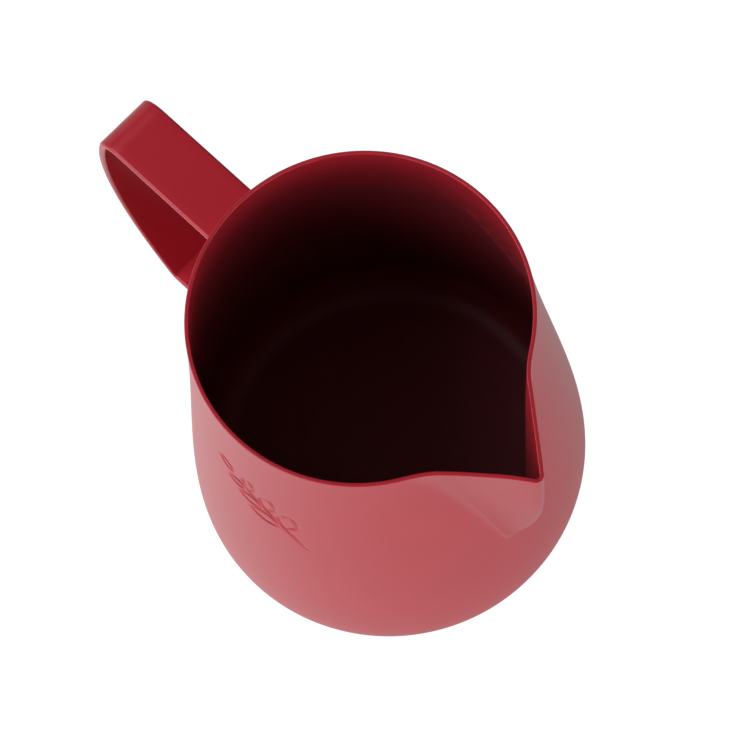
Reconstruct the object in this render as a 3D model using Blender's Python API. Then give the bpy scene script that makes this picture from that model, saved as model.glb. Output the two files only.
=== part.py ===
"""Milk frothing pitcher: a drawn sheet-metal cup with a pressed pouring spout and a welded strap handle.

Frame: metres, +Z up, origin at the centre of the flat underside. The spout points along +X, the handle
stands out along -X, and the plane y = 0 is the plane of symmetry.
"""

import math

import bmesh
import bpy
from mathutils import Vector
from mathutils.geometry import interpolate_bezier

# Cup, outer face
HEIGHT = 0.112
RIM_RADIUS = 0.037
BELLY_RADIUS = 0.0482
BELLY_HEIGHT = 0.0097  # where the cup is widest
BASE_RADIUS = 0.0392  # edge of the flat underside
SHEET = 0.0009  # wall and floor thickness
RIM_LEAN = math.radians(4.4)  # how far the wall still leans in at the rim
BELLY_FULLNESS = 0.160  # share of the wall's height over which the belly stays upright
SHOULDER_FULLNESS = 0.333  # share of it over which the rim's lean carries down
QUARTER_TURN = 0.5523  # handle length that makes a Bezier curve a quarter ellipse
RIM_ROUNDING = 0.00022  # of the square-cut rim's two edges

# Spout
RIDGE_REACH = 0.0519  # from the cup's axis to the ridge, where it runs straight down from the rim
RIDGE_BEND_HEIGHT = 0.095  # below this the ridge curves in towards the wall
RIDGE_BEND_RADIUS = 0.1486
SPOUT_FOOT_HEIGHT = 0.044
FOLD_ANGLE_RIM = math.radians(39.5)  # between the plane of symmetry and each side of the spout
FOLD_ANGLE_FOOT = math.radians(33.5)
NOSE_RADIUS_RIM = 0.0018
NOSE_SWELL_HEIGHT = 0.086  # below this the nose grows rounder
NOSE_SWELL_RADIUS = 0.15  # the lower, the faster it grows
NECK_BLEND_RIM = 0.0018  # how softly the spout's sides run into the round wall
NECK_BLEND_FOOT = 0.0009
LIP_RISE = 0.0016  # how far the rim stands up beside the spout
LIP_RISE_START = 0.031  # measured from the cup's axis towards the spout
LIP_RISE_END = 0.041
LIP_DIP = 0.0026  # and how far it comes down again at the spout's tip
LIP_DIP_START = 0.045

# Handle, centre line of the strap
STRAP_WIDTH = 0.0146
STRAP_THICKNESS = 0.0019
STRAP_EDGE_RADIUS = 0.00065
HANDLE_TOP_HEIGHT = 0.0963
HANDLE_FOOT_HEIGHT = 0.0186
HANDLE_REACH = 0.0806
GRIP_RADIUS = 0.086
GRIP_CENTRE_HEIGHT = 0.0635
TOP_BEND_RADIUS = 0.007
FOOT_BEND_RADIUS = 0.0020

# Joints between the pieces
CLEARANCE = 0.0003
WELD_LEG = 0.0020
WELD_TOE = 0.0002  # thickness at the weld's two feather edges

# Fineness of the faceting
TURN_STEPS = 72
SPOUT_CROWDING = 0.55  # draws the steps together round the spout
CORNER_STEPS = 5
WALL_STEPS = 14
TOP_BEND_STEPS = 7
GRIP_STEPS = 12
FOOT_BEND_STEPS = 5
EDGE_STEPS = 3  # round each edge of the strap's section
FLAT_STEPS = 2  # on half of the strap's width
FILLET_STEPS = 3
WALL_SAMPLES = 400

COATING_COLOUR = (0.36, 0.016, 0.027, 1.0)
COATING_ROUGHNESS = 0.28
SMOOTH_ANGLE = math.radians(40.0)


def clear_scene():
    for old in list(bpy.data.objects):
        bpy.data.objects.remove(old, do_unlink=True)


def mix(start, end, share):
    return start + (end - start) * share


# ---- The cup's shape -------------------------------------------------------------------------------


def corner_curve(steps):
    """(radius, height) points of the rounded corner between the underside and the belly."""
    base = Vector((BASE_RADIUS, 0.0))
    belly = Vector((BELLY_RADIUS, BELLY_HEIGHT))
    out = base + Vector((QUARTER_TURN * (BELLY_RADIUS - BASE_RADIUS), 0.0))
    down = belly - Vector((0.0, QUARTER_TURN * BELLY_HEIGHT))
    return interpolate_bezier(base, out, down, belly, steps + 1)


def wall_curve(steps):
    """(radius, height) points of the wall from the belly up to the rim."""
    rise = HEIGHT - BELLY_HEIGHT
    belly = Vector((BELLY_RADIUS, BELLY_HEIGHT))
    rim = Vector((RIM_RADIUS, HEIGHT))
    up = belly + Vector((0.0, BELLY_FULLNESS * rise))
    lean = Vector((math.sin(RIM_LEAN), -math.cos(RIM_LEAN)))
    return interpolate_bezier(belly, up, rim + lean * (SHOULDER_FULLNESS * rise), rim, steps + 1)


FINE_WALL = wall_curve(WALL_SAMPLES)


def wall_radius(height):
    """Radius of the round cup's outer face at a height between the belly and the rim."""
    for low, high in zip(FINE_WALL, FINE_WALL[1:]):
        if height <= high.y:
            return mix(low.x, high.x, (height - low.y) / (high.y - low.y))
    return RIM_RADIUS


def spout_share(height):
    """How far up the spout a height is, from 0 at its foot to 1 at the rim."""
    return min(max((height - SPOUT_FOOT_HEIGHT) / (HEIGHT - SPOUT_FOOT_HEIGHT), 0.0), 1.0)


def ridge_reach(height):
    """Distance of the spout's rounded ridge from the cup's axis."""
    return RIDGE_REACH - max(0.0, RIDGE_BEND_HEIGHT - height) ** 2 / (2.0 * RIDGE_BEND_RADIUS)


def nose_radius(height):
    """Plan radius of the rounding where the two sides of the spout meet."""
    return NOSE_RADIUS_RIM + max(0.0, NOSE_SWELL_HEIGHT - height) ** 2 / (2.0 * NOSE_SWELL_RADIUS)


def fold_radius(turn, height):
    """Distance from the axis to the folded sides of the spout, in the direction of a turn about +Z."""
    half_angle = mix(FOLD_ANGLE_FOOT, FOLD_ANGLE_RIM, spout_share(height) ** 3)
    nose = nose_radius(height)
    centre = ridge_reach(height) - nose
    tangent = Vector((centre + nose * math.sin(half_angle), nose * math.cos(half_angle)))
    turn = abs(turn)
    if turn < math.atan2(tangent.y, tangent.x):
        return centre * math.cos(turn) + math.sqrt(nose**2 - (centre * math.sin(turn)) ** 2)
    square_on = math.pi / 2 - half_angle
    return (centre * math.sin(half_angle) + nose) / math.cos(min(turn - square_on, 0.0))


def spouted_radius(turn, radius, height):
    """Radius of the cup's outer face with the spout pressed out of its round wall."""
    if height < BELLY_HEIGHT:
        return radius
    blend = mix(NECK_BLEND_FOOT, NECK_BLEND_RIM, spout_share(height))
    excess = fold_radius(turn, height) - radius
    if excess <= -blend:
        return radius
    if excess >= blend:
        return radius + excess
    return radius + (excess + blend) ** 2 / (4.0 * blend)


def lip_rise(reach, height):
    """How far the rim rises beside the spout and dips at its tip, fading out down to the spout's foot."""
    rise = min(max((reach - LIP_RISE_START) / (LIP_RISE_END - LIP_RISE_START), 0.0), 1.0)
    dip = max(0.0, (reach - LIP_DIP_START) / (RIDGE_REACH - LIP_DIP_START))
    return (LIP_RISE * rise**2 * (3.0 - 2.0 * rise) - LIP_DIP * dip**2) * spout_share(height) ** 2


# ---- Building helpers ------------------------------------------------------------------------------


def coating(name):
    """A satin baked-on coating."""
    material = bpy.data.materials.new(name)
    material.use_nodes = True
    shader = material.node_tree.nodes["Principled BSDF"]
    shader.inputs["Base Color"].default_value = COATING_COLOUR
    shader.inputs["Roughness"].default_value = COATING_ROUGHNESS
    shader.inputs["Metallic"].default_value = 0.0
    material.diffuse_color = COATING_COLOUR
    return material


def finish_piece(name, bm):
    """Turns a bmesh into a named, smooth-shaded object with its own material."""
    bmesh.ops.recalc_face_normals(bm, faces=bm.faces[:])
    mesh = bpy.data.meshes.new(name)
    bm.to_mesh(mesh)
    bm.free()
    mesh.shade_smooth()
    mesh.set_sharp_from_angle(angle=SMOOTH_ANGLE)
    mesh.materials.append(coating(name + "_coating"))
    piece = bpy.data.objects.new(name, mesh)
    bpy.context.scene.collection.objects.link(piece)
    return piece


def loft(bm, rings):
    """Skins closed rings of points, which all run the same way round, and returns the rings' vertices."""
    rows = [[bm.verts.new(point) for point in ring] for ring in rings]
    for row, following in zip(rows, rows[1:]):
        for index, vertex in enumerate(row):
            before = index - 1
            bm.faces.new((row[before], vertex, following[index], following[before]))
    return rows


# ---- The cup ---------------------------------------------------------------------------------------


def make_cup():
    """A skin turned from its side outline, with the spout pressed out, thickened to the sheet."""
    bm = bmesh.new()
    outline = corner_curve(CORNER_STEPS) + wall_curve(WALL_STEPS)[1:]
    line = [bm.verts.new((point.x, 0.0, point.y)) for point in outline]
    edges = [bm.edges.new(pair) for pair in zip(line, line[1:])]
    bmesh.ops.spin(
        bm,
        geom=line + edges,
        cent=(0.0, 0.0, 0.0),
        axis=(0.0, 0.0, 1.0),
        angle=math.tau,
        steps=TURN_STEPS,
        use_merge=True,
    )
    underside = [edge for edge in bm.edges if all(vertex.co.z < SHEET / 10 for vertex in edge.verts)]
    bmesh.ops.contextual_create(bm, geom=underside)
    for vertex in bm.verts:
        radius = math.hypot(vertex.co.x, vertex.co.y)
        turn = math.atan2(vertex.co.y, vertex.co.x)
        turn -= SPOUT_CROWDING * math.sin(turn)
        radius = spouted_radius(turn, radius, vertex.co.z)
        vertex.co.x = radius * math.cos(turn)
        vertex.co.y = radius * math.sin(turn)
        vertex.co.z += lip_rise(vertex.co.x, vertex.co.z)
    cup = finish_piece("pitcher_cup", bm)

    sheet = cup.modifiers.new("sheet thickness", "SOLIDIFY")
    sheet.thickness = SHEET
    sheet.offset = -1.0
    sheet.use_even_offset = True
    lip = cup.modifiers.new("rounded rim", "BEVEL")
    lip.limit_method = "ANGLE"
    lip.angle_limit = math.radians(60.0)
    lip.width = RIM_ROUNDING
    lip.segments = 2
    return cup


# ---- The handle ------------------------------------------------------------------------------------


def arc(centre, radius, start, end, steps):
    """Points on an arc in the plane of symmetry, as (x, height)."""
    turns = [mix(start, end, step / steps) for step in range(steps + 1)]
    return [centre + radius * Vector((math.cos(turn), math.sin(turn))) for turn in turns]


def handle_path():
    """The strap's centre line as (x, height), from the upper joint round to the lower one.

    Two level runs and the bowed grip between them, joined by two tangent bends.
    """
    grip_centre = Vector((GRIP_RADIUS - HANDLE_REACH, GRIP_CENTRE_HEIGHT))

    def bend_centre(height, radius):
        drop = height - grip_centre.y
        return Vector((grip_centre.x - math.sqrt((GRIP_RADIUS - radius) ** 2 - drop**2), height))

    top = bend_centre(HANDLE_TOP_HEIGHT - TOP_BEND_RADIUS, TOP_BEND_RADIUS)
    foot = bend_centre(HANDLE_FOOT_HEIGHT + FOOT_BEND_RADIUS, FOOT_BEND_RADIUS)
    top_turn = math.atan2(top.y - grip_centre.y, top.x - grip_centre.x)
    foot_turn = math.atan2(foot.y - grip_centre.y, foot.x - grip_centre.x) + math.tau
    start = Vector((-wall_radius(HANDLE_TOP_HEIGHT), HANDLE_TOP_HEIGHT))
    end = Vector((-wall_radius(HANDLE_FOOT_HEIGHT), HANDLE_FOOT_HEIGHT))
    top_bend = arc(top, TOP_BEND_RADIUS, math.pi / 2, top_turn, TOP_BEND_STEPS)
    grip = arc(grip_centre, GRIP_RADIUS, top_turn, foot_turn, GRIP_STEPS)
    foot_bend = arc(foot, FOOT_BEND_RADIUS, foot_turn, 1.5 * math.pi, FOOT_BEND_STEPS)
    return [start] + top_bend + grip[1:-1] + foot_bend + [end]


def strap_section(growth):
    """(sideways, outward) points round the strap's section, along its outer face and back along its inner.

    Its four edges are rounded, and growth widens it all round.
    """
    side = STRAP_WIDTH / 2 - STRAP_EDGE_RADIUS
    half = STRAP_THICKNESS / 2 - STRAP_EDGE_RADIUS
    radius = STRAP_EDGE_RADIUS + growth
    turns = [math.pi / 2 * step / EDGE_STEPS for step in range(EDGE_STEPS + 1)]
    quarter = [Vector((side * step / FLAT_STEPS, half + radius)) for step in range(FLAT_STEPS)]
    quarter += [Vector((side + radius * math.sin(turn), half + radius * math.cos(turn))) for turn in turns]
    outer_face = [Vector((-point.x, point.y)) for point in reversed(quarter[1:])] + quarter
    return outer_face + [Vector((point.x, -point.y)) for point in reversed(outer_face)]


def beside_wall(sideways, height, gap):
    """x of the point that lies a gap outside the cup's wall, on the handle's side."""
    return -math.sqrt((wall_radius(height) + gap) ** 2 - sideways**2)


def close_end(bm, row):
    """Closes an end of the strap with strips across its thickness, so that it can follow the wall's curve."""
    for index in range(len(row) // 2 - 1):
        bm.faces.new((row[index], row[index + 1], row[-2 - index], row[-1 - index]))


def make_strap():
    """The bent strap, its two ends cut to the curve of the wall."""
    path = handle_path()
    section = strap_section(0.0)
    rings = []
    for index, point in enumerate(path):
        ahead = path[min(index + 1, len(path) - 1)]
        behind = path[max(index - 1, 0)]
        along = (ahead - behind).normalized()
        outward = Vector((along.y, -along.x))
        ring = [Vector((point.x + n * outward.x, y, point.y + n * outward.y)) for y, n in section]
        if index in (0, len(path) - 1):
            for corner in ring:
                corner.x = beside_wall(corner.y, corner.z, CLEARANCE)
        rings.append(ring)
    bm = bmesh.new()
    rows = loft(bm, rings)
    close_end(bm, rows[0])
    close_end(bm, rows[-1])
    return finish_piece("handle_strap", bm)


def weld_section(sideways, height, away_y, away_z):
    """One slice of a fillet weld, at a point on the strap's edge and the direction away from the strap."""

    def place(off_strap, off_wall):
        y = sideways + away_y * off_strap
        z = height + away_z * off_strap
        return Vector((beside_wall(y, z, CLEARANCE + off_wall), y, z))

    slice_points = [place(0.0, 0.0), place(WELD_LEG, 0.0)]
    hollow = WELD_LEG - WELD_TOE
    for step in range(FILLET_STEPS + 1):
        turn = math.pi / 2 * step / FILLET_STEPS
        off_strap = WELD_LEG - hollow * math.sin(turn)
        off_wall = WELD_LEG - hollow * math.cos(turn)
        slice_points.append(place(off_strap, off_wall))
    slice_points.append(place(0.0, WELD_LEG))
    return slice_points


def make_weld(name, joint_height):
    """A hollow-faced fillet weld that runs round the strap where it meets the cup."""
    inner = strap_section(CLEARANCE)
    outer = strap_section(CLEARANCE + WELD_LEG)
    slices = []
    for near, far in zip(inner, outer):
        away = (far - near).normalized()
        slices.append(weld_section(near.x, joint_height + near.y, away.x, away.y))
    bm = bmesh.new()
    loft(bm, slices + slices[:1])
    bmesh.ops.remove_doubles(bm, verts=bm.verts[:], dist=WELD_TOE / 100)
    return finish_piece(name, bm)


def main():
    clear_scene()
    bpy.context.scene.unit_settings.system = "METRIC"
    make_cup()
    make_strap()
    make_weld("upper_handle_weld", HANDLE_TOP_HEIGHT)
    make_weld("lower_handle_weld", HANDLE_FOOT_HEIGHT)


main()
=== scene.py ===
"""Looks of the milk frothing pitcher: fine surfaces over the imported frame, and a satin red coating.

Frame: metres, +Z up, origin at the centre of the flat underside, spout along +X, handle along -X.
"""

import math

import bpy
import numpy as np
from mathutils import Matrix, Vector


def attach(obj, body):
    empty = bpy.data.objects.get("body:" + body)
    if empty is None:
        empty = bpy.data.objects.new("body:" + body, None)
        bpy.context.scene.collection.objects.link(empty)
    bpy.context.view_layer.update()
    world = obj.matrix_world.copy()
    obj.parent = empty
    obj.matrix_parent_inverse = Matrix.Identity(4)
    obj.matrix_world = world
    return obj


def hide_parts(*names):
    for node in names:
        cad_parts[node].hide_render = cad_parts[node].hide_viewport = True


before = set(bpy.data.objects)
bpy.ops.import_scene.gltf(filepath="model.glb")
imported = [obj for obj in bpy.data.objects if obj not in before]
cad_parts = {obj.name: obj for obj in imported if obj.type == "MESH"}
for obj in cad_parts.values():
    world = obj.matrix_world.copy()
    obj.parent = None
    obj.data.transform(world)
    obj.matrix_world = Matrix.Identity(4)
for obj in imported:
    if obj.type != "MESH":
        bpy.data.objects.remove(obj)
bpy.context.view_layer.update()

MM = 0.001

# Cup, as in the CAD model
HEIGHT = 0.112
RIM_RADIUS = 0.037
BELLY_RADIUS = 0.0482
BELLY_HEIGHT = 0.0097
BASE_RADIUS = 0.0392
SHEET = 0.0009
RIM_LEAN = math.radians(4.4)
BELLY_FULLNESS = 0.160
SHOULDER_FULLNESS = 0.333
QUARTER_TURN = 0.5523
RIM_ROUNDING = 0.00022

# Spout, as in the CAD model
RIDGE_REACH = 0.0519
RIDGE_BEND_HEIGHT = 0.095
RIDGE_BEND_RADIUS = 0.1486
SPOUT_FOOT_HEIGHT = 0.044
FOLD_ANGLE_RIM = math.radians(39.5)
FOLD_ANGLE_FOOT = math.radians(33.5)
NOSE_RADIUS_RIM = 0.0018
NOSE_SWELL_HEIGHT = 0.086
NOSE_SWELL_RADIUS = 0.15
NECK_BLEND_RIM = 0.0018
NECK_BLEND_FOOT = 0.0009
LIP_RISE = 0.0016
LIP_RISE_START = 0.031
LIP_RISE_END = 0.041
LIP_DIP = 0.0026
LIP_DIP_START = 0.045

# Handle and welds, as in the CAD model
STRAP_WIDTH = 0.0146
STRAP_THICKNESS = 0.0019
STRAP_EDGE_RADIUS = 0.00065
HANDLE_TOP_HEIGHT = 0.0963
HANDLE_FOOT_HEIGHT = 0.0186
HANDLE_REACH = 0.0806
GRIP_RADIUS = 0.086
GRIP_CENTRE_HEIGHT = 0.0635
TOP_BEND_RADIUS = 0.007
FOOT_BEND_RADIUS = 0.0020
WELD_LEG = 0.0020
WELD_TOE = 0.0002
WELD_SINK = 0.0001  # how far the bead reaches into the strap and the wall
WELD_RIPPLES = ((0.05, 31.0, 0.0), (0.04, 7.0, 1.0))  # share of the leg, waves round the strap, phase

# Cup mesh: cells of about 1.1 mm, each split into FINE x FINE where the surface turns quickly
COLUMNS = 224
SPOUT_CROWDING = 0.35
CORNER_ROWS = 14
WALL_ROWS = 84
RIM_ROWS = 9
FINE = 4
RIDGE_HALF_WIDTH = 0.0042
SPOUT_HALF_TURN = 1.0
TANGENT_TURN = 0.0006  # steps at which tangents are taken, in radians and in rows
TANGENT_ROWS = 0.12

# Pressed sprig, one on each side of the cup
SPRIG_TURN = math.radians(83.0)
SPRIG_HEIGHT = 0.0765
SPRIG_RADIUS = 0.0405  # of the wall there
SPRIG_STEM = (Vector((-11.5, -11.0)), Vector((-3.5, 2.5)), Vector((6.5, 9.0)))  # mm
SPRIG_PAIRS = 3
LEAF_LONGEST = 8.6  # mm
LEAF_SHORTEST = 5.8
LEAF_SPREAD = math.radians(46.0)
LEAF_FATNESS = 0.27
LEAF_BELLY = 0.42  # where along a leaf its sides are fullest
LEAF_GAP = 1.1  # mm between stem and leaf
TIP_GAP = 1.0  # mm between the stem's end and the leaf beyond it
PAIRS_FROM, PAIRS_TO = 0.30, 0.80  # of the stem's length
STROKE_STEPS = 14
PRESS_DEPTH = 0.00040
PRESS_WIDTH = 0.00050
SPRIG_REACH = 0.030  # no line is further from the sprig's middle
INSIDE_SOFTNESS = 1.7  # how much wider a pressed line is on the sheet's inner face
INSIDE_DEPTH = 0.85  # and how high it stands there, as a share of its depth outside
SPLIT_WIDTH = 2.6  # a cell is split where a line this much wider is at least SPLIT_DEPTH of its depth
SPLIT_DEPTH = 0.10

# Coating
DEEP_RED = (0.432, 0.0170, 0.0292, 1.0)
BRIGHT_RED = (0.462, 0.0180, 0.0308, 1.0)
CLOUD_SIZE = 0.018  # of the soft clouds that run from the one red to the other
ROUGHNESS = (0.272, 0.288)
GRAIN_SIZE = 0.0005  # of the grain that runs from the one roughness to the other
NOISE_SPAN = (0.1, 0.9)  # the values that a noise texture mostly keeps to
PEEL_SIZE = 0.0025  # of the orange peel
PEEL_DEPTH = 0.000003
MARKS_DETAIL = 1.0

# Marks of the metal that show through the coating, as (size, depth)
SPIN_MARKS = (0.0009, 0.0000006)
ROLL_MARKS = (0.0007, 0.000001)
WELD_MARKS = (0.0012, 0.00006)

# Scuffs where the cup stands
SCUFFED_RED = (0.400, 0.0600, 0.0700, 1.0)
SCUFFED_ROUGHNESS = 0.42
SCUFF_HEIGHT = 0.0006
SCUFF_SIZE = 0.006
SCUFF_SPAN = (0.45, 0.62)  # noise values at which bare coating turns into a scuff
SCUFF_DETAIL = 4.0

# Inside the cup: painted shade that darkens the red with depth, and a duller coating there
INNER_PAINTED_SHADE_RED = (0.215, 0.0200, 0.0260, 1.0)
INNER_ROUGHNESS = 0.46
INNER_TOP = 0.119  # height at which it starts, just over the rim
INNER_DEPTH = 0.083  # height from which it is complete
INNER_FACING = (0.35, 0.6)  # how far a face turns to the axis, or up, from outside to inside

# Floor
FLOOR_HALF = 4.0
FLOOR_NEAR = 0.53  # glow under and round the cup, out to GLOW_START
FLOOR_FAR = 0.31  # glow beyond GLOW_END
FLOOR_TILT = (-0.115, -0.095, 0.0)  # how much brighter the near glow is to one side
FLOOR_SEEN = 1.0  # glow that the camera sees
FLOOR_SHADE = 0.10
GLOW_START = 0.10
GLOW_END = 0.35

# Studio: the dome's glow at the horizon and from DOME_FULL upwards, and the soft boxes
DOME_LOW = 0.0
DOME_TOP = 0.12
DOME_FULL = math.radians(65.0)
LAMP_DISTANCE = 1.2
LAMP_TINT = (1.0, 0.86, 0.95)
LAMPS = (  # name, azimuth, elevation, width and height in degrees, radiance
    ("key_low", 262.0, 6.0, 62.0, 15.0, 2.13),
    ("key_mid", 262.0, 21.0, 62.0, 14.0, 1.47),
    ("key_top", 255.0, 42.0, 60.0, 24.0, 2.89),
    ("key_left_roof", 230.0, 58.0, 60.0, 16.0, 2.08),
    ("left_mid", 215.0, 21.0, 32.0, 14.0, 0.326),
    ("left_high", 215.0, 28.0, 34.0, 20.0, 2.7),
    ("left_top", 202.0, 42.0, 58.0, 24.0, 0.45),
    ("handle_low", 180.0, 6.0, 38.0, 14.0, 0.437),
    ("handle_mid", 180.0, 21.0, 38.0, 14.0, 0.0699),
    ("back_mid", 104.0, 21.0, 38.0, 14.0, 0.347),
    ("front_low", 350.0, 6.0, 38.0, 14.0, 3.34),
    ("front_wide_low", 5.0, 8.0, 50.0, 18.0, 3.82),
    ("front_wide_high", 5.0, 26.0, 50.0, 18.0, 1.34),
    ("right_top", 22.0, 42.0, 58.0, 24.0, 0.483),
)

# Camera
CAMERA_AZIMUTH = math.radians(-32.690)
CAMERA_ELEVATION = math.radians(72.499)
CAMERA_ROLL = math.radians(13.733)
CAMERA_DISTANCE = 0.57785
CAMERA_TARGET = Vector((-0.005835, 0.002442, 0.056))
CAMERA_CLIP = (0.01, 20.0)
LENS = 122.62
SENSOR = 36.0


# ---- The cup's shape ---------------------------------------------------------------------------------


def mix(start, end, share):
    return start + (end - start) * share


def bezier(corners, share):
    """Points on a Bezier curve with 3 or 4 corners."""
    share = np.asarray(share, float)[..., None]
    order = len(corners) - 1
    return sum(
        math.comb(order, index) * share**index * (1.0 - share) ** (order - index) * np.array(corner)
        for index, corner in enumerate(corners)
    )


CORNER = (
    (BASE_RADIUS, 0.0),
    (mix(BASE_RADIUS, BELLY_RADIUS, QUARTER_TURN), 0.0),
    (BELLY_RADIUS, BELLY_HEIGHT * (1.0 - QUARTER_TURN)),
    (BELLY_RADIUS, BELLY_HEIGHT),
)
RISE = HEIGHT - BELLY_HEIGHT
WALL = (
    (BELLY_RADIUS, BELLY_HEIGHT),
    (BELLY_RADIUS, BELLY_HEIGHT + BELLY_FULLNESS * RISE),
    (
        RIM_RADIUS + math.sin(RIM_LEAN) * SHOULDER_FULLNESS * RISE,
        HEIGHT - math.cos(RIM_LEAN) * SHOULDER_FULLNESS * RISE,
    ),
    (RIM_RADIUS, HEIGHT),
)
FINE_WALL = bezier(WALL, np.linspace(0.0, 1.0, 2001))


def wall_radius(height):
    return np.interp(height, FINE_WALL[:, 1], FINE_WALL[:, 0])


def spout_share(height):
    """How far up the spout a height is, from 0 at its foot to 1 at the rim."""
    return np.clip((height - SPOUT_FOOT_HEIGHT) / (HEIGHT - SPOUT_FOOT_HEIGHT), 0.0, 1.0)


def ridge_reach(height):
    return RIDGE_REACH - np.maximum(0.0, RIDGE_BEND_HEIGHT - height) ** 2 / (2.0 * RIDGE_BEND_RADIUS)


def fold_radius(turn, height):
    """Distance from the axis to the folded sides of the spout."""
    half_angle = mix(FOLD_ANGLE_FOOT, FOLD_ANGLE_RIM, spout_share(height) ** 3)
    nose = NOSE_RADIUS_RIM + np.maximum(0.0, NOSE_SWELL_HEIGHT - height) ** 2 / (2.0 * NOSE_SWELL_RADIUS)
    centre = ridge_reach(height) - nose
    turn = np.abs(turn)
    tangent_turn = np.arctan2(nose * np.cos(half_angle), centre + nose * np.sin(half_angle))
    on_nose = centre * np.cos(turn) + np.sqrt(np.maximum(nose**2 - (centre * np.sin(turn)) ** 2, 0.0))
    off_square = np.minimum(turn - (math.pi / 2 - half_angle), 0.0)
    return np.where(turn < tangent_turn, on_nose, (centre * np.sin(half_angle) + nose) / np.cos(off_square))


def neck_blend(height):
    return mix(NECK_BLEND_FOOT, NECK_BLEND_RIM, spout_share(height))


def spouted_radius(turn, radius, height):
    """Radius of the outer face with the spout pressed out of the round wall."""
    blend = neck_blend(height)
    excess = fold_radius(turn, height) - radius
    blended = np.where(excess >= blend, excess, (excess + blend) ** 2 / (4.0 * blend))
    return radius + np.where((excess <= -blend) | (height < BELLY_HEIGHT), 0.0, blended)


def lip_rise(reach, height):
    """How far the rim rises beside the spout and dips at its tip, fading out down to the spout's foot."""
    rise = np.clip((reach - LIP_RISE_START) / (LIP_RISE_END - LIP_RISE_START), 0.0, 1.0)
    dip = np.maximum(0.0, (reach - LIP_DIP_START) / (RIDGE_REACH - LIP_DIP_START))
    return (LIP_RISE * rise**2 * (3.0 - 2.0 * rise) - LIP_DIP * dip**2) * spout_share(height) ** 2


def column_turn(column):
    around = math.tau * np.asarray(column) / COLUMNS
    around = np.where(around > math.pi, around - math.tau, around)
    return around - SPOUT_CROWDING * np.sin(around)


def outline(row):
    """Radius and height of the round cup's outer face at a row, from the underside's edge to the rim."""
    corner = bezier(CORNER, np.clip(row / CORNER_ROWS, 0.0, 1.0))
    up = np.maximum(0.0, row - CORNER_ROWS) / WALL_ROWS
    height = mix(BELLY_HEIGHT, HEIGHT - RIM_ROUNDING, up)
    on_wall = row >= CORNER_ROWS
    return np.where(on_wall, wall_radius(height), corner[..., 0]), np.where(on_wall, height, corner[..., 1])


def round_face(turn, row):
    """Points on the cup's outer face, before the sprigs are pressed into it."""
    radius, height = outline(row)
    radius = spouted_radius(turn, radius, height)
    reach = radius * np.cos(turn)
    return np.stack((reach, radius * np.sin(turn), height + lip_rise(reach, height)), -1)


def unit(vectors):
    return vectors / np.linalg.norm(vectors, axis=-1, keepdims=True)


def tangents(face, turn, row, last_row):
    """Unit tangents round and up a face, from its near neighbours."""
    low, high = np.maximum(row - TANGENT_ROWS, 0.0), np.minimum(row + TANGENT_ROWS, last_row)
    around = face(turn + TANGENT_TURN, row) - face(turn - TANGENT_TURN, row)
    return unit(around), unit(face(turn, high) - face(turn, low))


TOP_ROW = CORNER_ROWS + WALL_ROWS


def face_normal(face, turn, row):
    around, up = tangents(face, turn, row, TOP_ROW)
    return unit(np.cross(around, up))


# ---- The pressed sprig -------------------------------------------------------------------------------


def sprig_strokes():
    """The sprig's lines, in millimetres on the unrolled wall: a stem, pairs of leaves, one at the tip."""
    steps = np.linspace(0.0, 1.0, STROKE_STEPS + 1)
    stem = bezier(SPRIG_STEM, steps)
    strokes = [stem]

    def add_leaf(base, heading, length):
        along = Vector((math.cos(heading), math.sin(heading))) * length
        aside = Vector((-along.y, along.x)) * LEAF_FATNESS
        tip = base + along
        for side in (1.0, -1.0):
            belly = base + along * LEAF_BELLY + aside * 2.0 * side
            strokes.append(bezier((base, belly, tip), steps))

    for index in range(SPRIG_PAIRS):
        share = mix(PAIRS_FROM, PAIRS_TO, index / (SPRIG_PAIRS - 1))
        place, ahead = (Vector(point) for point in bezier(SPRIG_STEM, (share, share + 0.02)))
        heading = math.atan2(ahead.y - place.y, ahead.x - place.x)
        length = mix(LEAF_LONGEST, LEAF_SHORTEST, index / (SPRIG_PAIRS - 1))
        for side in (1.0, -1.0):
            away = Vector((math.cos(heading + side * LEAF_SPREAD), math.sin(heading + side * LEAF_SPREAD)))
            add_leaf(place + away * LEAF_GAP, heading + side * LEAF_SPREAD, length)
    end, before = Vector(SPRIG_STEM[2]), Vector(SPRIG_STEM[1])
    heading = math.atan2(end.y - before.y, end.x - before.x)
    add_leaf(end + (end - before).normalized() * TIP_GAP, heading, LEAF_SHORTEST)
    return [stroke * MM for stroke in strokes]


STROKES = sprig_strokes()


def pressed_depth(turn, height, width):
    """How far the sprig is pressed in, deepest on its lines and fading out at their ends."""
    across = (np.abs(turn) - SPRIG_TURN) * SPRIG_RADIUS
    up = height - SPRIG_HEIGHT
    depth = np.zeros(np.shape(turn))
    near = np.hypot(across, up) < SPRIG_REACH
    spots = np.stack((across[near], up[near]), -1)
    found = np.zeros(len(spots))
    for stroke in STROKES:
        for index, (start, end) in enumerate(zip(stroke, stroke[1:])):
            step = end - start
            share = np.clip((spots - start) @ step / (step @ step), 0.0, 1.0)
            gap = np.linalg.norm(spots - start - share[:, None] * step, axis=1)
            along = (index + share) / STROKE_STEPS
            fade = np.sqrt(np.clip(np.sin(math.pi * along), 0.0, 1.0))
            found = np.maximum(found, fade * np.exp(-((gap / width) ** 2)))
    depth[near] = PRESS_DEPTH * found
    return depth


def outer_face(turn, row):
    height = outline(row)[1]
    press = pressed_depth(turn, height, PRESS_WIDTH)
    return round_face(turn, row) - face_normal(round_face, turn, row) * press[..., None]


def inner_face(turn, row):
    """The sheet's inner face, where the pressed lines stand out wider and softer."""
    height = outline(row)[1]
    press = SHEET + INSIDE_DEPTH * pressed_depth(turn, height, PRESS_WIDTH * INSIDE_SOFTNESS)
    return round_face(turn, row) - face_normal(round_face, turn, row) * press[..., None]


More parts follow.
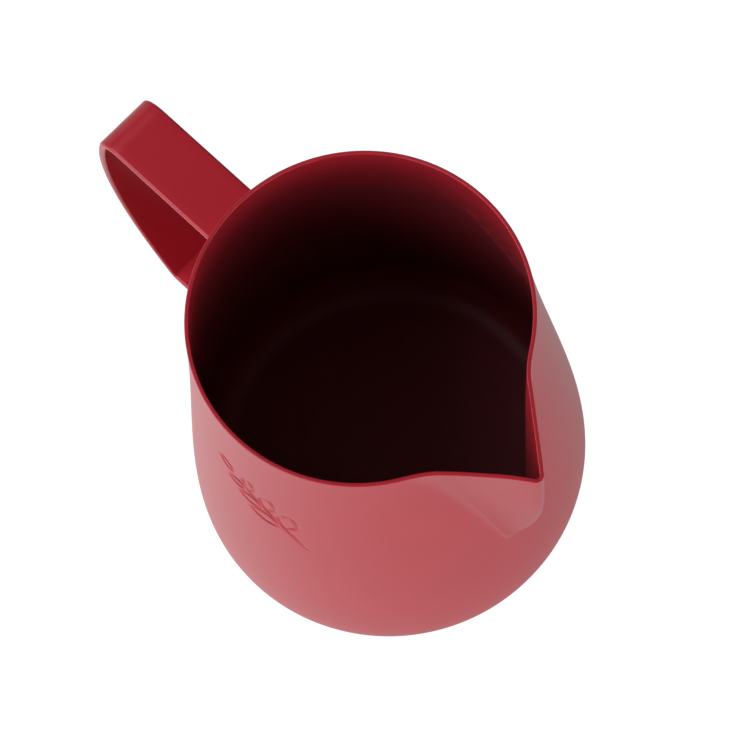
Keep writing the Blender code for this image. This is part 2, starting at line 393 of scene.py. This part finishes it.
# ---- The cup's mesh ----------------------------------------------------------------------------------


def cup_points(turn, row):
    """Points and normals at rows that run up the outer face, over the rim and down the inner face."""
    points = np.zeros((len(turn), 3))
    normals = np.zeros((len(turn), 3))
    outside = row <= TOP_ROW
    inside = row >= TOP_ROW + RIM_ROWS
    rim = ~(outside | inside)
    points[outside] = outer_face(turn[outside], row[outside])
    normals[outside] = face_normal(outer_face, turn[outside], row[outside])
    mirrored = 2 * TOP_ROW + RIM_ROWS - row[inside]
    points[inside] = inner_face(turn[inside], mirrored)
    normals[inside] = -face_normal(inner_face, turn[inside], mirrored)
    top = np.full(rim.sum(), float(TOP_ROW))
    around, up = tangents(round_face, turn[rim], top, TOP_ROW)
    out = unit(np.cross(around, up))
    share = (row[rim] - TOP_ROW) / RIM_ROWS
    over = math.pi / 2 * (np.clip(share * 3.0, 0.0, 1.0) + np.clip(share * 3.0 - 2.0, 0.0, 1.0))
    across = mix(RIM_ROUNDING, SHEET - RIM_ROUNDING, np.clip(share * 3.0 - 1.0, 0.0, 1.0))
    normals[rim] = out * np.cos(over)[:, None] + up * np.sin(over)[:, None]
    points[rim] = round_face(turn[rim], top) - out * across[:, None] + normals[rim] * RIM_ROUNDING
    return points, normals


def cells_to_split():
    """True for the cells that lie on the sprig, the spout's ridge or the creases beside it."""
    all_rows = 2 * TOP_ROW + RIM_ROWS
    columns, rows = np.meshgrid(np.arange(COLUMNS) + 0.5, np.arange(all_rows) + 0.5, indexing="ij")
    rows = np.minimum(np.minimum(rows, all_rows - rows), TOP_ROW)
    turn = column_turn(columns)
    radius, height = outline(rows)
    on_sprig = pressed_depth(turn, height, PRESS_WIDTH * SPLIT_WIDTH) > PRESS_DEPTH * SPLIT_DEPTH
    fold = fold_radius(turn, height)
    on_spout = (fold > radius) & (height > SPOUT_FOOT_HEIGHT)
    on_ridge = on_spout & (np.abs(turn) * radius < RIDGE_HALF_WIDTH)
    beside_spout = (height > SPOUT_FOOT_HEIGHT) & (np.abs(turn) < SPOUT_HALF_TURN)
    on_crease = (np.abs(fold - radius) < neck_blend(height)) & beside_spout
    return on_sprig | on_ridge | on_crease


def make_cup():
    """The cup as one closed sheet, on a grid whose cells are split where the shape needs it."""
    split = cells_to_split()
    numbers = {}
    faces = []

    def vertex(column, row):
        return numbers.setdefault((column % (COLUMNS * FINE), row), len(numbers))

    def is_split(column, row):
        return 0 <= row < split.shape[1] and split[column % COLUMNS, row]

    for column in range(COLUMNS):
        for row in range(split.shape[1]):
            left, low = column * FINE, row * FINE
            if split[column, row]:
                for i in range(left, left + FINE):
                    for j in range(low, low + FINE):
                        corners = ((i, j), (i + 1, j), (i + 1, j + 1), (i, j + 1))
                        faces.append([vertex(*corner) for corner in corners])
                continue
            steps = {
                "below": FINE if not is_split(column, row - 1) else 1,
                "right": FINE if not is_split(column + 1, row) else 1,
                "above": FINE if not is_split(column, row + 1) else 1,
                "left": FINE if not is_split(column - 1, row) else 1,
            }
            border = [(left + i, low) for i in range(0, FINE, steps["below"])]
            border += [(left + FINE, low + j) for j in range(0, FINE, steps["right"])]
            border += [(left + FINE - i, low + FINE) for i in range(0, FINE, steps["above"])]
            border += [(left, low + FINE - j) for j in range(0, FINE, steps["left"])]
            faces.append([vertex(i, j) for i, j in border])
    ring = range(0, COLUMNS * FINE, FINE)
    faces.append([vertex(i, 0) for i in reversed(ring)])
    faces.append([vertex(i, split.shape[1] * FINE) for i in ring])

    keys = np.array(list(numbers), float) / FINE
    points, normals = cup_points(column_turn(keys[:, 0]), keys[:, 1])
    ends = (keys[:, 1] == 0) | (keys[:, 1] == split.shape[1])
    normals[ends] = np.where(keys[ends, 1:] == 0, (0.0, 0.0, -1.0), (0.0, 0.0, 1.0))
    return make_piece("coated_cup", points, faces, normals)


def make_piece(name, points, faces, normals=None):
    mesh = bpy.data.meshes.new(name)
    mesh.from_pydata(points, [], faces)
    mesh.validate()
    mesh.shade_smooth()
    if normals is not None:
        mesh.normals_split_custom_set_from_vertices(normals)
    piece = bpy.data.objects.new(name, mesh)
    bpy.context.scene.collection.objects.link(piece)
    return piece


# ---- The handle --------------------------------------------------------------------------------------


def arc(centre, radius, start, end, steps):
    turns = np.linspace(start, end, steps + 1)
    return np.stack((centre[0] + radius * np.cos(turns), centre[1] + radius * np.sin(turns)), -1)


def handle_path():
    """The strap's centre line as (x, height) points, from the upper weld round to the lower one."""
    grip = (GRIP_RADIUS - HANDLE_REACH, GRIP_CENTRE_HEIGHT)

    def bend_centre(height, radius):
        drop = height - grip[1]
        return grip[0] - math.sqrt((GRIP_RADIUS - radius) ** 2 - drop**2), height

    top = bend_centre(HANDLE_TOP_HEIGHT - TOP_BEND_RADIUS, TOP_BEND_RADIUS)
    foot = bend_centre(HANDLE_FOOT_HEIGHT + FOOT_BEND_RADIUS, FOOT_BEND_RADIUS)
    top_turn = math.atan2(top[1] - grip[1], top[0] - grip[0])
    foot_turn = math.atan2(foot[1] - grip[1], foot[0] - grip[0]) + math.tau
    top_bend = arc(top, TOP_BEND_RADIUS, math.pi / 2, top_turn, 24)
    bow = arc(grip, GRIP_RADIUS, top_turn, foot_turn, 56)
    foot_bend = arc(foot, FOOT_BEND_RADIUS, foot_turn, 1.5 * math.pi, 14)
    top_run = np.linspace((-wall_radius(HANDLE_TOP_HEIGHT), HANDLE_TOP_HEIGHT), top_bend[0], 16)
    foot_run = np.linspace(foot_bend[-1], (-wall_radius(HANDLE_FOOT_HEIGHT), HANDLE_FOOT_HEIGHT), 10)
    return np.concatenate((top_run[:-1], top_bend, bow[1:-1], foot_bend, foot_run[1:]))


def strap_section(growth, corner_steps=7, flat_steps=6, edge_steps=2):
    """(sideways, outward) points round the strap's section, out along its outer face and back."""
    radius = STRAP_EDGE_RADIUS + growth
    side, half = STRAP_WIDTH / 2 - STRAP_EDGE_RADIUS, STRAP_THICKNESS / 2 - STRAP_EDGE_RADIUS
    turns = np.linspace(0.0, math.pi / 2, corner_steps + 1)
    corner = np.stack((side + radius * np.sin(turns), half + radius * np.cos(turns)), -1)
    edge = np.linspace(corner[-1], corner[-1] * (1, -1), edge_steps + 1)[1:-1]
    right = np.concatenate((corner, edge, corner[::-1] * (1, -1)))
    flat = np.linspace((-side, half + radius), (side, half + radius), flat_steps + 1)[1:-1]
    return np.concatenate((flat, right, flat[::-1] * (1, -1), right[::-1] * (-1, 1)))


def beside_wall(sideways, height, gap):
    return -np.sqrt((wall_radius(height) + gap) ** 2 - sideways**2)


def lofted_faces(rings, around, closed):
    """Faces between rings of that many points each, as one tube, a ring of tubes where closed."""
    faces = []
    for ring in range(rings if closed else rings - 1):
        here, there = ring * around, (ring + 1) % rings * around
        for index in range(around):
            after = (index + 1) % around
            faces.append((here + index, here + after, there + after, there + index))
    return faces


def make_strap():
    path = handle_path()
    section = strap_section(0.0)
    along = unit(np.gradient(path, axis=0))
    outward = np.stack((along[:, 1], -along[:, 0]), -1)
    rings = np.zeros((len(path), len(section), 3))
    rings[..., 0] = path[:, None, 0] + outward[:, None, 0] * section[None, :, 1]
    rings[..., 1] = section[None, :, 0]
    rings[..., 2] = path[:, None, 1] + outward[:, None, 1] * section[None, :, 1]
    for end in (0, -1):
        rings[end, :, 0] = beside_wall(rings[end, :, 1], rings[end, :, 2], 0.0)
    around = len(section)
    faces = lofted_faces(len(path), around, closed=False)
    faces += [list(range(around))[::-1], list(range((len(path) - 1) * around, len(path) * around))]
    return make_piece("coated_handle_strap", rings.reshape(-1, 3), faces)


def make_weld(name, joint_height):
    """A hollow-faced fillet weld round the strap, with the slow ripple of a run of weld metal."""
    inner, outer = (strap_section(growth, 12, 24, 3) for growth in (0.0, WELD_LEG))
    away = unit(outer - inner)
    hollow = np.linspace(0.0, math.pi / 2, 9)
    run = np.arange(len(inner)) * math.tau / len(inner)
    rings = []
    for (side, drop), (away_side, away_up), place in zip(inner, away, run):
        ripple = sum(share * math.sin(waves * place + phase) for share, waves, phase in WELD_RIPPLES)
        leg = WELD_LEG * (1.0 + ripple)
        scoop = leg - WELD_TOE
        off_strap = np.concatenate(([-WELD_SINK, leg], leg - scoop * np.sin(hollow), [-WELD_SINK]))
        off_wall = np.concatenate(([-WELD_SINK, -WELD_SINK], leg - scoop * np.cos(hollow), [leg]))
        y = side + away_side * off_strap
        z = joint_height + drop + away_up * off_strap
        rings.append(np.stack((beside_wall(y, z, off_wall), y, z), -1))
    faces = lofted_faces(len(rings), len(rings[0]), closed=True)
    return make_piece(name, np.concatenate(rings), faces)


# ---- Materials ---------------------------------------------------------------------------------------


def node_tools(tree):
    """Short ways to add a node and to join sockets in one node tree."""

    def add(kind, inputs=(), **settings):
        node = tree.nodes.new("ShaderNode" + kind)
        for name, value in settings.items():
            setattr(node, name, value)
        for name, value in dict(inputs).items():
            if isinstance(value, bpy.types.NodeSocket):
                tree.links.new(value, node.inputs[name])
            else:
                node.inputs[name].default_value = value
        return node

    return add


def noise(add, place, size, detail=0.0):
    """A noise texture with features of about that size, as a socket from 0 to 1."""
    return add("TexNoise", {"Vector": place, "Scale": 1.0 / size, "Detail": detail}).outputs["Fac"]


def spread(add, value, start, end, low=0.0, high=1.0):
    """A value mapped from start..end to low..high and held there, as a socket."""
    span = {"Value": value, "From Min": start, "From Max": end, "To Min": low, "To Max": high}
    return add("MapRange", span).outputs[0]


def blend(add, share, low, high):
    return add("Mix", {0: share, 2: low, 3: high}, data_type="FLOAT").outputs[0]


def round_the_axis(add, place):
    """Coordinates in which a noise texture runs in rings round the cup's axis, as spinning leaves them."""
    across = add("VectorMath", {0: place, 1: (1.0, 1.0, 0.0)}, operation="MULTIPLY")
    radius = add("VectorMath", {0: across.outputs[0]}, operation="LENGTH")
    height = add("SeparateXYZ", {0: place})
    return add("CombineXYZ", {0: radius.outputs["Value"], 2: height.outputs["Z"]}).outputs[0]


def inside_shade_and_dullness(add, place):
    """How far a point is down the cup's inside, which sets the painted shade and the duller roughness
    there: 0 outside and at the rim, 1 deep inside.
    """
    facing = add("TexCoord").outputs["Normal"]
    level = add("VectorMath", {0: place, 1: (1.0, 1.0, 0.0)}, operation="MULTIPLY")
    outward = add("VectorMath", {0: level.outputs[0]}, operation="NORMALIZE")
    across = add("VectorMath", {0: facing, 1: outward.outputs[0]}, operation="DOT_PRODUCT").outputs["Value"]
    inward = add("Math", {0: across, 1: -1.0}, operation="MULTIPLY")
    upward = add("SeparateXYZ", {0: facing}).outputs["Z"]
    turned = add("Math", {0: inward.outputs[0], 1: upward}, operation="MAXIMUM")
    inside = spread(add, turned.outputs[0], *INNER_FACING)
    height = add("SeparateXYZ", {0: place}).outputs["Z"]
    depth = spread(add, height, INNER_TOP, INNER_DEPTH)
    return add("Math", {0: inside, 1: depth}, operation="MULTIPLY").outputs[0]


def coating(name, marks, spun=False):
    """Satin baked-on coating, with an orange peel, a fine grain, soft clouds and scuffs underneath, and on
    the cup painted shade deep inside.

    The marks are what the metal under it shows through: spinning rings, rolling marks or weld ripple.
    """
    material = bpy.data.materials.new(name)
    material.use_nodes = True
    tree = material.node_tree
    shader = tree.nodes["Principled BSDF"]
    add = node_tools(tree)
    place = add("TexCoord").outputs["Object"]

    contact = spread(add, add("SeparateXYZ", {0: place}).outputs["Z"], SCUFF_HEIGHT, 0.0)
    patches = spread(add, noise(add, place, SCUFF_SIZE, SCUFF_DETAIL), *SCUFF_SPAN)
    scuffs = add("Math", {0: contact, 1: patches}, operation="MULTIPLY").outputs[0]

    clouds = spread(add, noise(add, place, CLOUD_SIZE), *NOISE_SPAN)
    red = add("Mix", {0: clouds, 6: DEEP_RED, 7: BRIGHT_RED}, data_type="RGBA")
    sheen = spread(add, noise(add, place, GRAIN_SIZE, MARKS_DETAIL), *NOISE_SPAN, *ROUGHNESS)
    if spun:
        # Painted shade: the red darkens down the cup's inside, and the coating is duller there too.
        inner = inside_shade_and_dullness(add, place)
        red = add("Mix", {0: inner, 6: red.outputs[2], 7: INNER_PAINTED_SHADE_RED}, data_type="RGBA")
        sheen = blend(add, inner, sheen, INNER_ROUGHNESS)
    worn = add("Mix", {0: scuffs, 6: red.outputs[2], 7: SCUFFED_RED}, data_type="RGBA")
    tree.links.new(worn.outputs[2], shader.inputs["Base Color"])
    tree.links.new(blend(add, scuffs, sheen, SCUFFED_ROUGHNESS), shader.inputs["Roughness"])

    size, depth = marks
    ripple = noise(add, round_the_axis(add, place) if spun else place, size, MARKS_DETAIL)
    metal = add("Bump", {"Height": ripple, "Distance": depth})
    peel = noise(add, place, PEEL_SIZE, MARKS_DETAIL)
    skin = add("Bump", {"Height": peel, "Distance": PEEL_DEPTH, "Normal": metal.outputs[0]})
    tree.links.new(skin.outputs[0], shader.inputs["Normal"])
    return material


# ---- Assembly ----------------------------------------------------------------------------------------

cup = make_cup()
strap = make_strap()
upper_weld = make_weld("coated_upper_weld", HANDLE_TOP_HEIGHT)
lower_weld = make_weld("coated_lower_weld", HANDLE_FOOT_HEIGHT)
for piece, node, look in (
    (cup, "pitcher_cup", coating("spun_sheet_coating", SPIN_MARKS, spun=True)),
    (strap, "handle_strap", coating("strap_coating", ROLL_MARKS)),
    (upper_weld, "upper_handle_weld", coating("upper_weld_coating", WELD_MARKS)),
    (lower_weld, "lower_handle_weld", coating("lower_weld_coating", WELD_MARKS)),
):
    piece.data.materials.append(look)
    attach(piece, "root")
    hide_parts(node)


# ---- Stage -------------------------------------------------------------------------------------------


def make_floor():
    """A pale floor. It looks white, and lights the cup as the shaded floor near it would."""
    mesh = bpy.data.meshes.new("floor")
    corners = [(FLOOR_HALF * x, FLOOR_HALF * y, 0.0) for x, y in ((-1, -1), (1, -1), (1, 1), (-1, 1))]
    mesh.from_pydata(corners, [], [(0, 1, 2, 3)])
    material = bpy.data.materials.new("pale_floor")
    material.use_nodes = True
    tree = material.node_tree
    tree.nodes.clear()
    add = node_tools(tree)
    place = add("NewGeometry").outputs["Position"]
    distance = add("VectorMath", {0: place}, operation="LENGTH")
    heading = add("VectorMath", {0: place}, operation="NORMALIZE")
    lean = add("VectorMath", {0: heading.outputs[0], 1: FLOOR_TILT}, operation="DOT_PRODUCT")
    near = add("Math", {0: lean.outputs["Value"], 1: FLOOR_NEAR}, operation="ADD")
    glow = add(
        "MapRange",
        {
            "Value": distance.outputs["Value"],
            "From Min": GLOW_START,
            "From Max": GLOW_END,
            "To Min": near.outputs[0],
            "To Max": FLOOR_FAR,
        },
        interpolation_type="SMOOTHSTEP",
    )
    seen = add("LightPath").outputs["Is Camera Ray"]
    strength = add("Mix", {0: seen, 2: glow.outputs["Result"], 3: FLOOR_SEEN}, data_type="FLOAT")
    light = add("Emission", {"Strength": strength.outputs[0]})
    shade = add("BsdfDiffuse", {"Color": (FLOOR_SHADE, FLOOR_SHADE, FLOOR_SHADE, 1.0)})
    both = add("AddShader", {0: light.outputs[0], 1: shade.outputs[0]})
    add("OutputMaterial", {"Surface": both.outputs[0]})
    mesh.materials.append(material)
    floor = bpy.data.objects.new("floor", mesh)
    bpy.context.scene.collection.objects.link(floor)


def make_dome():
    """The dim studio round and above the lights."""
    world = bpy.data.worlds.new("studio")
    world.use_nodes = True
    tree = world.node_tree
    tree.nodes.clear()
    add = node_tools(tree)
    height = add("SeparateXYZ", {0: add("TexCoord").outputs["Generated"]}).outputs["Z"]
    dimming = add(
        "MapRange",
        {
            "Value": height,
            "From Min": 0.0,
            "From Max": math.sin(DOME_FULL),
            "To Min": DOME_LOW,
            "To Max": DOME_TOP,
        },
        interpolation_type="SMOOTHSTEP",
    )
    glow = add("Background", {"Strength": dimming.outputs["Result"]})
    add("OutputWorld", {"Surface": glow.outputs[0]})
    bpy.context.scene.world = world


def softbox(name, azimuth, elevation, width, height, radiance):
    """A flat soft light that faces the cup, placed and sized by angles in degrees as seen from it."""
    data = bpy.data.lights.new(name, "AREA")
    data.shape = "RECTANGLE"
    data.size = 2.0 * LAMP_DISTANCE * math.tan(math.radians(width) / 2)
    data.size_y = 2.0 * LAMP_DISTANCE * math.tan(math.radians(height) / 2)
    data.energy = radiance * math.pi * data.size * data.size_y
    data.color = LAMP_TINT
    light = bpy.data.objects.new(name, data)
    flat = math.cos(math.radians(elevation))
    towards = Vector(
        (
            flat * math.cos(math.radians(azimuth)),
            flat * math.sin(math.radians(azimuth)),
            math.sin(math.radians(elevation)),
        )
    )
    light.location = towards * LAMP_DISTANCE + Vector((0.0, 0.0, HEIGHT / 2))
    light.rotation_mode = "QUATERNION"
    light.rotation_quaternion = towards.to_track_quat("Z", "Y")
    light.visible_camera = False
    bpy.context.scene.collection.objects.link(light)


make_floor()
make_dome()
for lamp in LAMPS:
    softbox(*lamp)
bpy.context.scene.view_settings.view_transform = "Standard"


# ---- Camera ------------------------------------------------------------------------------------------


def make_camera():
    """A camera that looks at the target from its azimuth and elevation, turned by its roll."""
    data = bpy.data.cameras.new("camera")
    data.sensor_width = SENSOR
    data.lens = LENS
    camera = bpy.data.objects.new("camera", data)
    bpy.context.scene.collection.objects.link(camera)
    flat = math.cos(CAMERA_ELEVATION)
    back = Vector(
        (flat * math.cos(CAMERA_AZIMUTH), flat * math.sin(CAMERA_AZIMUTH), math.sin(CAMERA_ELEVATION))
    )
    right = (-back).cross(Vector((0.0, 0.0, 1.0))).normalized()
    down = (-back).cross(right)
    turned_right = math.cos(CAMERA_ROLL) * right + math.sin(CAMERA_ROLL) * down
    turned_down = -math.sin(CAMERA_ROLL) * right + math.cos(CAMERA_ROLL) * down
    axes = Matrix((turned_right, -turned_down, back)).transposed().to_4x4()
    camera.matrix_world = Matrix.Translation(CAMERA_TARGET + CAMERA_DISTANCE * back) @ axes
    data.clip_start, data.clip_end = CAMERA_CLIP
    bpy.context.scene.camera = camera


make_camera()
